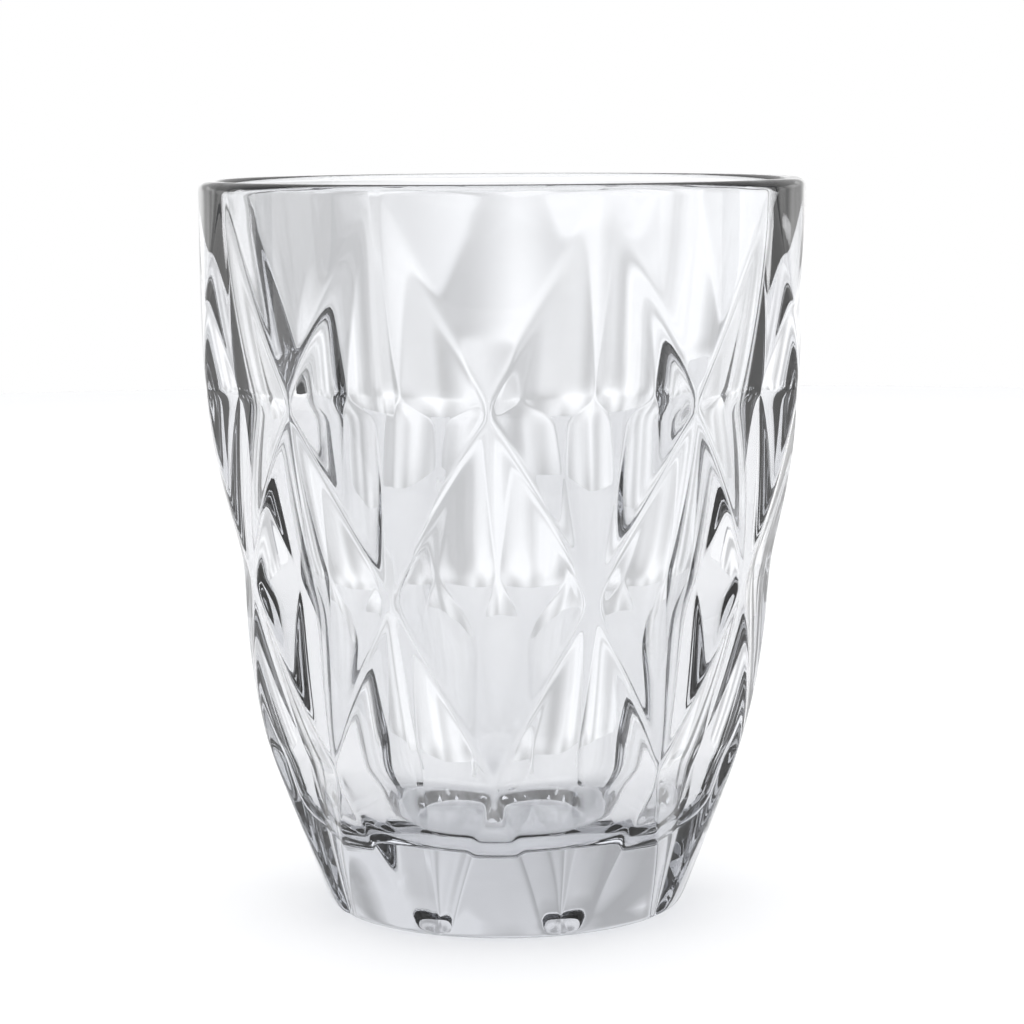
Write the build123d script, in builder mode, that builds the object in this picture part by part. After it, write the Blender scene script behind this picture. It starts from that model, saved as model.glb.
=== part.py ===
"""A pressed-glass whiskey tumbler: one piece of glass, so one solid.

Millimetres, +Z up, origin at the centre of the face it rests on. The wall carries a lattice
of ridges nine times around, and every field between the ridges is pressed in as a shallow
four-sided pyramid. -Y is the front, where a crossing of the upper row of ridges stands.
"""

from build123d import *

import os
from math import cos, radians, sin

# Driving dimensions
height = 100.0
around = 9  # ridge crossings in each row, three for each third of the mould
step = 360 / around
front = -90.0  # direction of the front, degrees from +X

# Rows of ridge crossings, top to bottom: radius and height. The last row lies below the
# base, so the lowest ridges run off the foot before they meet.
rim_crossing = (41.2, 98.4)
upper_crossing = (40.7, 71.6)
lower_crossing = (37.6, 46.8)
ankle_crossing = (33.0, 22.5)
toe_crossing = (22.5, -5.0)

# Deepest point of each row of fields: radius and height
first_field = (37.1, 72.0)
second_field = (34.0, 46.0)
third_field = (29.2, 21.5)

shoulder_slope = 0.28  # outward slope of the wall where the tapered foot turns into the bowl

# Lip, foot and underside
lip_thickness = 2.6
lip_round = 1.25
base_radius = 24.4
base_round = 2.0
punt_radius = 17.0
punt_depth = 1.0

# Inside, as the plunger leaves it
floor_height = 12.0
floor_radius = 23.0
floor_round = 7.0
cavity_ankle = (26.8, 24.0)
cavity_waist = (31.4, 46.8)
cavity_shoulder = (35.0, 71.6)

cut_reach = 5.0  # from a field's deepest point out past the widest of the blank


def crossing(row, steps):
    """The point of a row that many steps round from the direction of +X."""
    turn = radians(steps * step)
    return Vector(row[0] * cos(turn), row[0] * sin(turn), row[1])


def field_cutter(deepest, top, sides, bottom):
    """A pyramid with its tip at a field's deepest point that opens out through its crossings."""
    tip = Vector(deepest[0], 0, deepest[1])
    corners = (crossing(top, 0), crossing(sides, 0.5), crossing(bottom, 0), crossing(sides, -0.5))
    centre_line = corners[0] - corners[2]
    outward = Vector(centre_line.Z, 0, -centre_line.X).normalized()
    mouth_plane = Plane(origin=tip + outward * cut_reach, x_dir=(0, 1, 0), z_dir=outward)
    mouth_points = []
    for point in corners:
        ray = point - tip
        hit = mouth_plane.to_local_coords(tip + ray * (cut_reach / ray.dot(outward)))
        mouth_points.append((hit.X, hit.Y))
    with BuildPart() as cutter:
        with BuildSketch(mouth_plane) as mouth:
            with BuildLine():
                Polyline(*mouth_points, close=True)
            make_face()
        loft(sections=[mouth.sketch.face(), Vertex(*tip)])
    return cutter.part


first_cutter = field_cutter(first_field, rim_crossing, upper_crossing, lower_crossing)
second_cutter = field_cutter(second_field, upper_crossing, lower_crossing, ankle_crossing)
third_cutter = field_cutter(third_field, lower_crossing, ankle_crossing, toe_crossing)

with BuildPart() as tumbler_glass:
    # Blank: half of the wall and base in section, turned about the axis. The foot tapers, the
    # bowl turns upright towards the rim, and a shallow hollow below leaves a ring to rest on.
    rim_radius = rim_crossing[0]
    lip_corners = (rim_radius, height), (rim_radius - lip_thickness, height)
    base_corner = (base_radius, 0)
    floor_corner = (floor_radius, floor_height)
    with BuildSketch(Plane.XZ):
        with BuildLine():
            TangentArc((0, punt_depth), (punt_radius, 0), tangent=(1, 0))
            Polyline((punt_radius, 0), base_corner, ankle_crossing)
            wall_points = ankle_crossing, lower_crossing, upper_crossing, rim_crossing
            Spline(*wall_points, tangents=((shoulder_slope, 1), (0, 1)))
            Polyline(rim_crossing, *lip_corners)
            Spline(lip_corners[1], cavity_shoulder, cavity_waist, cavity_ankle)
            Polyline(cavity_ankle, floor_corner, (0, floor_height), (0, punt_depth))
        section = make_face().vertices()
        fillet([section.sort_by_distance(point)[0] for point in lip_corners], lip_round)
        fillet(section.sort_by_distance(floor_corner)[0], floor_round)
        fillet(section.sort_by_distance(base_corner)[0], base_round)
    revolve(axis=Axis.Z)

    # Three rows of fields. The first and third rows stand half a step round from the second.
    with PolarLocations(0, around, start_angle=front + step / 2):
        add(first_cutter, mode=Mode.SUBTRACT)
        add(third_cutter, mode=Mode.SUBTRACT)
    with PolarLocations(0, around, start_angle=front):
        add(second_cutter, mode=Mode.SUBTRACT)

tumbler_glass.part.label = "tumbler_glass"

os.makedirs("parts", exist_ok=True)
export_step(tumbler_glass.part, "parts/tumbler_glass.step")
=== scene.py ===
"""A pressed-glass whiskey tumbler for Blender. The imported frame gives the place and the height,
and one finer mesh of the same glass stands for the CAD node. Shapes are worked out in
millimetres and become metres when the mesh is made; the stage and camera are in metres."""

import math

import bpy
import numpy as np
from mathutils import Matrix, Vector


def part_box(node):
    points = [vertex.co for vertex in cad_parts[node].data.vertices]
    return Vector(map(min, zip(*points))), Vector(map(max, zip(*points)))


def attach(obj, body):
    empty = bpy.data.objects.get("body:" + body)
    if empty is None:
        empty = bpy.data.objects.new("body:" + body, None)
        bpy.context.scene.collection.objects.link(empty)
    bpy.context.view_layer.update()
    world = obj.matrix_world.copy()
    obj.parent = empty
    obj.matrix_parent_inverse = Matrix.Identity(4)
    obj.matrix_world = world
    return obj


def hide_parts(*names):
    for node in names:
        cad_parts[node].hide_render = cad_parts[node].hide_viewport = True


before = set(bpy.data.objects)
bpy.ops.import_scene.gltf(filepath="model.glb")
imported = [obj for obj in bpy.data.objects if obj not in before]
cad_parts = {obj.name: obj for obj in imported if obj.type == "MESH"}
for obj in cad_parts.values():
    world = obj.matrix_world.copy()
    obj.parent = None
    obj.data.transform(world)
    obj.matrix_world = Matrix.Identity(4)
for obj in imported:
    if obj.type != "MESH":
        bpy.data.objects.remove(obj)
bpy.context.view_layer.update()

NODE = "tumbler_glass"
MM = 0.001

# ---------------------------------------------------------------- sizes of the glass
AROUND = 9  # ridge crossings in each row
STEP = 2 * math.pi / AROUND
FRONT = -math.pi / 2  # direction of the front, from +X
lowest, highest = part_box(NODE)
HEIGHT = (highest.z - lowest.z) / MM

# Rows of ridge crossings, top to bottom: radius and height
RIM = (41.2, 98.4)
UPPER = (40.7, 71.6)
LOWER = (37.6, 46.8)
ANKLE = (33.0, 22.5)
TOE = (22.5, -5.0)
SHOULDER_SLOPE = 0.28  # outward slope of the wall where the tapered foot turns into the bowl
BOWL_SLOPES = (SHOULDER_SLOPE, 0.15, 0.06, 0.0)  # at the ankle, lower, upper and rim rows

# Rows of hollows: crossings above, beside and below, radius of the deepest point, steps round
# from the front, and how softly the upper half turns into the lower
HOLLOWS = (
    (RIM, UPPER, LOWER, 37.1, 0.5, 0.03),
    (UPPER, LOWER, ANKLE, 34.0, 0.0, 0.12),
    (LOWER, ANKLE, TOE, 29.2, 0.5, 0.03),
)
BOW = 0.4  # how much steeper a hollow is at its edges than halfway in
CENTRE_SOFTNESS = 0.03  # half width, in radians, of the round bottom of a hollow
RIDGE_SOFTNESS = 0.13  # how far fire polishing rounds a ridge

# The mould opens in three parts and leaves a fine raised seam at each of their joints
MOULD_PART = 2 * math.pi / 3
FIRST_SEAM = -STEP / 2
SEAM_HEIGHT = 0.05
SEAM_WIDTH = 0.25

LIP_THICKNESS = 2.6
LIP_ROUND = 1.25
BASE_RADIUS = 24.4
BASE_ROUND = 2.0
PUNT_RADIUS = 17.0
PUNT_DEPTH = 1.0

# Inside, from the floor up: radius and height, with the slope of the wall at each
INNER_RADIUS = RIM[0] - LIP_THICKNESS
FLOOR = (23.0, 12.0)
FLOOR_ROUND = 7.0
CAVITY = (FLOOR, (26.8, 24.0), (31.4, 46.8), (35.0, 71.6), (INNER_RADIUS, HEIGHT))
CAVITY_SLOPES = (0.32, 0.26, 0.17, 0.135, 0.12)

# ---------------------------------------------------------------- fineness of the mesh
CELLS = 28  # cells along a ridge from one crossing to the next, both ways
COLUMNS = 2 * AROUND * CELLS
ROUND_STEPS = 7  # steps round the lip's and the base's small rounds
INNER_RINGS = 32
MIDDLE_RADIUS = 1.5  # the first ring round the axis, underneath and on the cavity's floor
RING_GAP = 0.3  # the wall's lowest ring stands at least this far above the base round


# ---------------------------------------------------------------- outer wall
def smooth_profile(points, slopes, level):
    """Radius at each level of a smooth profile through the points, with its slopes there."""
    radius, height = np.array(points).T
    slopes = np.array(slopes)
    span = np.clip(np.searchsorted(height, level) - 1, 0, len(height) - 2)
    run = height[span + 1] - height[span]
    t = (level - height[span]) / run
    return (
        (2 * t**3 - 3 * t**2 + 1) * radius[span]
        + (t**3 - 2 * t**2 + t) * run * slopes[span]
        + (3 * t**2 - 2 * t**3) * radius[span + 1]
        + (t**3 - t**2) * run * slopes[span + 1]
    )


def blank_radius(level):
    """The plain blank: a straight taper in the foot, then a wall that turns upright."""
    taper = (ANKLE[0] - BASE_RADIUS) / ANKLE[1]
    foot = BASE_RADIUS + taper * level
    bowl = smooth_profile((ANKLE, LOWER, UPPER, RIM), BOWL_SLOPES, level)
    return np.where(level < ANKLE[1], foot, np.where(level > RIM[1], RIM[0], bowl))


def soft_extreme(values, softness, sign):
    """The largest (sign 1) or smallest (sign -1) of several values, blended where they meet."""
    stack = sign * np.array(values) / softness
    top = stack.max(axis=0)
    return sign * softness * (top + np.log(np.exp(stack - top).sum(axis=0)))


def hollow_radius(away, level, blank, crossings, deepest, softness):
    """Radius of a hollow whose four edges run straight from crossing to crossing. It is flat
    from side to side, and pressed in further towards its middle."""
    above, beside, below = crossings
    from_top = (above[1] - level) / (above[1] - beside[1])
    from_bottom = (level - below[1]) / (beside[1] - below[1])
    reach = soft_extreme((from_top, from_bottom), softness, -1)
    half_width = np.clip(reach, 0, 1) * STEP / 2
    side = (np.sqrt(away**2 + CENTRE_SOFTNESS**2) - CENTRE_SOFTNESS) / (STEP / 2)
    inwards = reach - side
    share = np.clip(inwards, 0, 1)
    pressed = beside[0] * math.cos(STEP / 2) - deepest
    return blank * np.cos(half_width) / np.cos(away) - pressed * (inwards + BOW * share * (1 - share))


def wall_radius(turn, level):
    """Radius of the outer wall, at angles from the front and levels above the base."""
    blank = blank_radius(level)
    surfaces = [blank]
    for *crossings, deepest, shift, softness in HOLLOWS:
        for neighbour in (-1, 0, 1):
            away = turn - (np.round(turn / STEP - shift) + shift + neighbour) * STEP
            surfaces.append(hollow_radius(away, level, blank, crossings, deepest, softness))
    seam_turn = np.round((turn - FIRST_SEAM) / MOULD_PART) * MOULD_PART + FIRST_SEAM
    from_seam = (turn - seam_turn) * blank
    seam = SEAM_HEIGHT * np.exp(-((from_seam / SEAM_WIDTH) ** 2))
    return soft_extreme(surfaces, RIDGE_SOFTNESS, -1) + seam


# ---------------------------------------------------------------- rings of the mesh
def wall_levels():
    """Levels of the wall's rings from the top down, so that ridges run along cell diagonals."""
    rows = (RIM, UPPER, LOWER, ANKLE, TOE)
    levels = []
    for above, below in zip(rows, rows[1:]):
        levels += list(np.linspace(above[1], below[1], CELLS, endpoint=False))
    return levels


def underside_rings(turn):
    """From the hollow underneath out over the resting ring and the base round."""
    whole = np.ones(COLUMNS)
    rings = []
    sphere = (PUNT_RADIUS**2 + PUNT_DEPTH**2) / (2 * PUNT_DEPTH)
    for radius in np.linspace(MIDDLE_RADIUS, PUNT_RADIUS, ROUND_STEPS):
        level = math.sqrt(sphere**2 - radius**2) - (sphere - PUNT_DEPTH)
        rings.append((whole * radius, whole * max(level, 0.0)))
    upright = math.pi / 2 - math.atan2(ANKLE[0] - BASE_RADIUS, ANKLE[1])
    flat_edge = BASE_RADIUS - BASE_ROUND * math.tan(upright / 2)
    rings.append((whole * flat_edge, whole * 0))
    for angle in np.linspace(0, upright, ROUND_STEPS)[1:]:
        level = BASE_ROUND * (1 - math.cos(angle))
        corner = whole * (flat_edge + BASE_ROUND * math.sin(angle))
        wall = wall_radius(turn, whole * level)
        rings.append((soft_extreme((wall, corner), RIDGE_SOFTNESS, -1), whole * level))
    return rings


def lip_rings(turn):
    """Over the lip, from the outer wall to the inner."""
    whole = np.ones(COLUMNS)
    start = HEIGHT - LIP_ROUND
    outer = wall_radius(turn, whole * start)
    rings = []
    for angle in np.linspace(0, math.pi / 2, ROUND_STEPS):
        radius = outer - LIP_ROUND * (1 - math.cos(angle))
        rings.append((radius, whole * (start + LIP_ROUND * math.sin(angle))))
    for angle in np.linspace(math.pi / 2, math.pi, ROUND_STEPS):
        radius = INNER_RADIUS + LIP_ROUND * (1 + math.cos(angle))
        rings.append((whole * radius, whole * (start + LIP_ROUND * math.sin(angle))))
    return rings


def cavity_rings():
    """Down the cavity's wall, round its corner and in over its floor."""
    whole = np.ones(COLUMNS)
    upright = math.pi / 2 - math.atan(CAVITY_SLOPES[0])
    floor_edge = FLOOR[0] - FLOOR_ROUND * math.tan(upright / 2)
    corner_top = FLOOR[1] + FLOOR_ROUND * (1 - math.cos(upright))
    rings = []
    spacing = (HEIGHT - LIP_ROUND - corner_top) / (INNER_RINGS + 1)
    for level in np.linspace(HEIGHT - LIP_ROUND - spacing, corner_top + spacing, INNER_RINGS):
        rings.append((whole * smooth_profile(CAVITY, CAVITY_SLOPES, level), whole * level))
    for angle in np.linspace(upright, 0, ROUND_STEPS):
        radius = floor_edge + FLOOR_ROUND * math.sin(angle)
        rings.append((whole * radius, whole * (FLOOR[1] + FLOOR_ROUND * (1 - math.cos(angle)))))
    for radius in np.linspace(floor_edge, MIDDLE_RADIUS, ROUND_STEPS)[1:]:
        rings.append((whole * radius, whole * FLOOR[1]))
    return rings


def glass_rings(turn):
    """Rings from the middle of the underside, out and up the wall, over the lip and down the
    cavity to the middle of its floor. Each is the radii and levels round the glass."""
    whole = np.ones(COLUMNS)
    rings = underside_rings(turn)
    lowest_wall = rings[-1][1][0] + RING_GAP
    for level in reversed(wall_levels()):
        if level > lowest_wall:
            rings.append((wall_radius(turn, whole * level), whole * level))
    return rings + lip_rings(turn) + cavity_rings()


def ring_faces(levels):
    """Two triangles for each cell between neighbouring rings, with corners a to d round it. The
    cells are split along the diagonal that the ridges follow, which changes from one row of
    hollows to the next."""
    column = np.arange(COLUMNS)
    after = (column + 1) % COLUMNS
    odd_half = (column // CELLS) % 2 == 1
    faces = []
    for ring, (low, high) in enumerate(zip(levels, levels[1:])):
        a, b = ring * COLUMNS + column, ring * COLUMNS + after
        c, d = b + COLUMNS, a + COLUMNS
        row = sum((low + high) / 2 < level for level in (UPPER[1], LOWER[1], ANKLE[1]))
        rising = odd_half if row % 2 else ~odd_half
        splits = ((rising, ((a, b, c), (a, c, d))), (~rising, ((a, b, d), (b, c, d))))
        for cells, triangles in splits:
            for triangle in triangles:
                faces.append(np.stack([corner[cells] for corner in triangle], axis=1))
    return faces


def build_glass():
    """The whole tumbler as one closed mesh."""
    turn = np.arange(COLUMNS) * 2 * math.pi / COLUMNS
    rings = glass_rings(turn)
    along, across = np.cos(turn + FRONT), np.sin(turn + FRONT)
    points = [np.stack((radius * along, radius * across, level), axis=1) for radius, level in rings]
    points.append(np.array([[0, 0, PUNT_DEPTH], [0, 0, FLOOR[1]]]))
    points = np.concatenate(points)
    underside, floor = len(points) - 2, len(points) - 1
    faces = ring_faces([level[0] for _, level in rings])
    first = np.arange(COLUMNS)
    last = first + (len(rings) - 1) * COLUMNS
    faces.append(np.stack((np.full(COLUMNS, underside), np.roll(first, -1), first), axis=1))
    faces.append(np.stack((last, np.roll(last, -1), np.full(COLUMNS, floor)), axis=1))
    mesh = bpy.data.meshes.new("tumbler")
    mesh.from_pydata((points * MM).tolist(), [], np.concatenate(faces).tolist())
    mesh.shade_smooth()
    tumbler = bpy.data.objects.new("tumbler", mesh)
    bpy.context.scene.collection.objects.link(tumbler)
    return tumbler


# ---------------------------------------------------------------- materials
GLASS_TINT = (0.885, 0.89, 0.9, 1)
GLASS_IOR = 1.52
BODY_TINT = (0.8, 0.805, 0.82, 1)  # what the thickness of the glass leaves of the light
BODY_DENSITY = 62.0
SHADOW_TINT = (0.91, 0.913, 0.918, 1)  # what each surface of the glass leaves of a shadow's light
MATT_ROUGHNESS = 0.9
DRIFT_RANGE = (0.35, 0.65)  # the part of the noise that a drifting glow uses


def node_material(name):
    material = bpy.data.materials.new(name)
    material.use_nodes = True
    nodes = material.node_tree.nodes
    nodes.clear()
    output = nodes.new("ShaderNodeOutputMaterial")
    return material, nodes, material.node_tree.links, output


def glass_material():
    """Clear glass that greys where it is thick. Light on its way to the floor passes straight
    through, so that the shadow stays faint."""
    material, nodes, links, output = node_material("clear_pressed_glass")
    glass = nodes.new("ShaderNodeBsdfPrincipled")
    glass.inputs["Base Color"].default_value = GLASS_TINT
    glass.inputs["Roughness"].default_value = 0.0
    glass.inputs["IOR"].default_value = GLASS_IOR
    glass.inputs["Transmission Weight"].default_value = 1.0
    see_through = nodes.new("ShaderNodeBsdfTransparent")
    see_through.inputs["Color"].default_value = SHADOW_TINT
    path = nodes.new("ShaderNodeLightPath")
    mix = nodes.new("ShaderNodeMixShader")
    links.new(path.outputs["Is Shadow Ray"], mix.inputs["Fac"])
    links.new(glass.outputs["BSDF"], mix.inputs[1])
    links.new(see_through.outputs["BSDF"], mix.inputs[2])
    links.new(mix.outputs["Shader"], output.inputs["Surface"])
    body = nodes.new("ShaderNodeVolumeAbsorption")
    body.inputs["Color"].default_value = BODY_TINT
    body.inputs["Density"].default_value = BODY_DENSITY
    links.new(body.outputs["Volume"], output.inputs["Volume"])
    return material


def matt_material(name, brightness):
    material, nodes, links, output = node_material(name)
    shader = nodes.new("ShaderNodeBsdfPrincipled")
    shader.inputs["Base Color"].default_value = (brightness, brightness, brightness, 1)
    shader.inputs["Roughness"].default_value = MATT_ROUGHNESS
    links.new(shader.outputs["BSDF"], output.inputs["Surface"])
    return material


def glow_material(name, strength):
    material, nodes, links, output = node_material(name)
    glow = nodes.new("ShaderNodeEmission")
    glow.inputs["Strength"].default_value = strength
    links.new(glow.outputs["Emission"], output.inputs["Surface"])
    return material


def uneven_glow(name, dimmest, brightest, bands):
    """A lit sheet whose brightness drifts in soft bands, so many to the metre each way."""
    material, nodes, links, output = node_material(name)
    place = nodes.new("ShaderNodeTexCoord")
    stretched = nodes.new("ShaderNodeMapping")
    stretched.inputs["Scale"].default_value = (*bands, 1)
    drift = nodes.new("ShaderNodeTexNoise")
    drift.inputs["Scale"].default_value = 1.0
    drift.inputs["Detail"].default_value = 0.0
    strength = nodes.new("ShaderNodeMapRange")
    strength.inputs["From Min"].default_value = DRIFT_RANGE[0]
    strength.inputs["From Max"].default_value = DRIFT_RANGE[1]
    strength.inputs["To Min"].default_value = dimmest
    strength.inputs["To Max"].default_value = brightest
    glow = nodes.new("ShaderNodeEmission")
    links.new(place.outputs["Object"], stretched.inputs["Vector"])
    links.new(stretched.outputs["Vector"], drift.inputs["Vector"])
    links.new(drift.outputs["Fac"], strength.inputs["Value"])
    links.new(strength.outputs["Result"], glow.inputs["Strength"])
    links.new(glow.outputs["Emission"], output.inputs["Surface"])
    return material


# ---------------------------------------------------------------- stage, light and camera
# Everything from here on is in metres and degrees
FLAT, UPRIGHT, ACROSS, FACING_DOWN = (0, 0, 0), (90, 0, 0), (90, 0, 90), (180, 0, 0)

GROUND_PLACE = (0, 0, -0.0002)
GROUND_SIZE = (2.0, 2.0)
GROUND_BRIGHTNESS = 0.9
WALL_RADIUS = 0.85
WALL_HEIGHT = 1.0
WALL_SIDES = 48
WALL_GLOW = 1.0
TOP_PLACE = (0, 0, 1.6)
TOP_SIZE = (2.6, 2.6)
TOP_GLOW = 2.1
WORLD_COLOUR = (0.52, 0.525, 0.54, 1)

# Cards that are seen in the glass alone. A flag or sheet has a twin on the left.
BACKDROP_PLACE = (0, 0.24, 0.08)
BACKDROP_SIZE = (0.8, 0.16)
BACKDROP_GLOWS = (0.8, 1.45)
BACKDROP_BANDS = (16, 14)
UPPER_PLACE = (0, 0.26, 0.36)
UPPER_SIZE = (0.8, 0.4)
UPPER_GLOW = 0.8
FLAG_PLACE = (0.42, 0.02, 0.1)
FLAG_SIZE = (0.07, 0.16)
FLAG_BRIGHTNESS = 0.01
SHEET_PLACE = (0.44, 0, 0.15)
SHEET_SIZE = (0.5, 0.3)
SHEET_GLOW = 1.3

CAMERA_DISTANCE = 0.4341  # from the axis of the glass
CAMERA_LEVEL = 0.1084
CAMERA_LENS = 111.45  # in millimetres, as the sensor is
CAMERA_SENSOR = 36
CAMERA_NEAREST = 0.01
ROUND_THE_GLASS = 2.65  # from the front towards the right
LOOK_SIDEWAYS = -0.146  # negative looks to the right of the axis
LOOK_DOWN = 7.12
CAMERA_TILT = -0.35  # about its own line of sight


def card(name, place, size, turn, material):
    """A flat sheet of the stage, lying before it is turned by its angles in degrees."""
    mesh = bpy.data.meshes.new(name)
    x, y = size[0] / 2, size[1] / 2
    mesh.from_pydata([(-x, -y, 0), (x, -y, 0), (x, y, 0), (-x, y, 0)], [], [(0, 1, 2, 3)])
    mesh.materials.append(material)
    plane = bpy.data.objects.new(name, mesh)
    plane.location = place
    plane.rotation_euler = [math.radians(angle) for angle in turn]
    bpy.context.scene.collection.objects.link(plane)
    return plane


def glass_only(plane):
    """Leaves a card to be seen in the glass alone, so it hides nothing from any side."""
    plane.visible_camera = False
    plane.visible_diffuse = False
    plane.visible_shadow = False


def build_far_wall():
    """A white wall all round, far off, that is seen past the glass and never in it."""
    ring = [2 * math.pi * k / WALL_SIDES for k in range(WALL_SIDES)]
    points = []
    for level in (0, WALL_HEIGHT):
        points += [(WALL_RADIUS * math.cos(a), WALL_RADIUS * math.sin(a), level) for a in ring]
    faces = []
    for k in range(WALL_SIDES):
        after = (k + 1) % WALL_SIDES
        faces.append((k, after, after + WALL_SIDES, k + WALL_SIDES))
    mesh = bpy.data.meshes.new("far_wall")
    mesh.from_pydata(points, [], faces)
    mesh.materials.append(glow_material("far_wall_glow", WALL_GLOW))
    wall = bpy.data.objects.new("far_wall", mesh)
    wall.visible_diffuse = False
    wall.visible_glossy = False
    wall.visible_transmission = False
    wall.visible_shadow = False
    bpy.context.scene.collection.objects.link(wall)


def build_stage():
    pale = matt_material("pale_floor", GROUND_BRIGHTNESS)
    card("floor", GROUND_PLACE, GROUND_SIZE, FLAT, pale)
    build_far_wall()
    card("top_box", TOP_PLACE, TOP_SIZE, FACING_DOWN, glow_material("top_glow", TOP_GLOW))
    uneven = uneven_glow("backdrop_glow", *BACKDROP_GLOWS, BACKDROP_BANDS)
    glass_only(card("backdrop", BACKDROP_PLACE, BACKDROP_SIZE, UPRIGHT, uneven))
    upper = glow_material("upper_glow", UPPER_GLOW)
    glass_only(card("upper_backdrop", UPPER_PLACE, UPPER_SIZE, UPRIGHT, upper))
    black = matt_material("black_flag", FLAG_BRIGHTNESS)
    white = glow_material("side_glow", SHEET_GLOW)
    for name, side in (("left", -1), ("right", 1)):
        for kind, place, size, material in (
            ("flag", FLAG_PLACE, FLAG_SIZE, black),
            ("sheet", SHEET_PLACE, SHEET_SIZE, white),
        ):
            x, y, z = place
            glass_only(card(f"{name}_{kind}", (x * side, y, z), size, ACROSS, material))
    world = bpy.data.worlds.new("studio")
    world.use_nodes = True
    background = world.node_tree.nodes["Background"]
    background.inputs["Color"].default_value = WORLD_COLOUR
    bpy.context.scene.world = world


def build_camera():
    """The view's own camera, a little to the right of the front and looking slightly down."""
    camera = bpy.data.objects.new("camera", bpy.data.cameras.new("camera"))
    camera.data.lens = CAMERA_LENS
    camera.data.sensor_width = CAMERA_SENSOR
    camera.data.clip_start = CAMERA_NEAREST
    round_the_glass = Matrix.Rotation(math.radians(ROUND_THE_GLASS), 4, "Z")
    stand = Matrix.Translation((0, -CAMERA_DISTANCE, CAMERA_LEVEL))
    yaw = Matrix.Rotation(math.radians(LOOK_SIDEWAYS), 4, "Z")
    down = Matrix.Rotation(math.radians(90 - LOOK_DOWN), 4, "X")
    roll = Matrix.Rotation(math.radians(CAMERA_TILT), 4, "Z")
    camera.matrix_world = round_the_glass @ stand @ yaw @ down @ roll
    bpy.context.scene.collection.objects.link(camera)
    bpy.context.scene.camera = camera
    bpy.context.scene.view_settings.view_transform = "Standard"


tumbler = build_glass()
tumbler.data.materials.append(glass_material())
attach(tumbler, "root")
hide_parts(NODE)
build_stage()
build_camera()
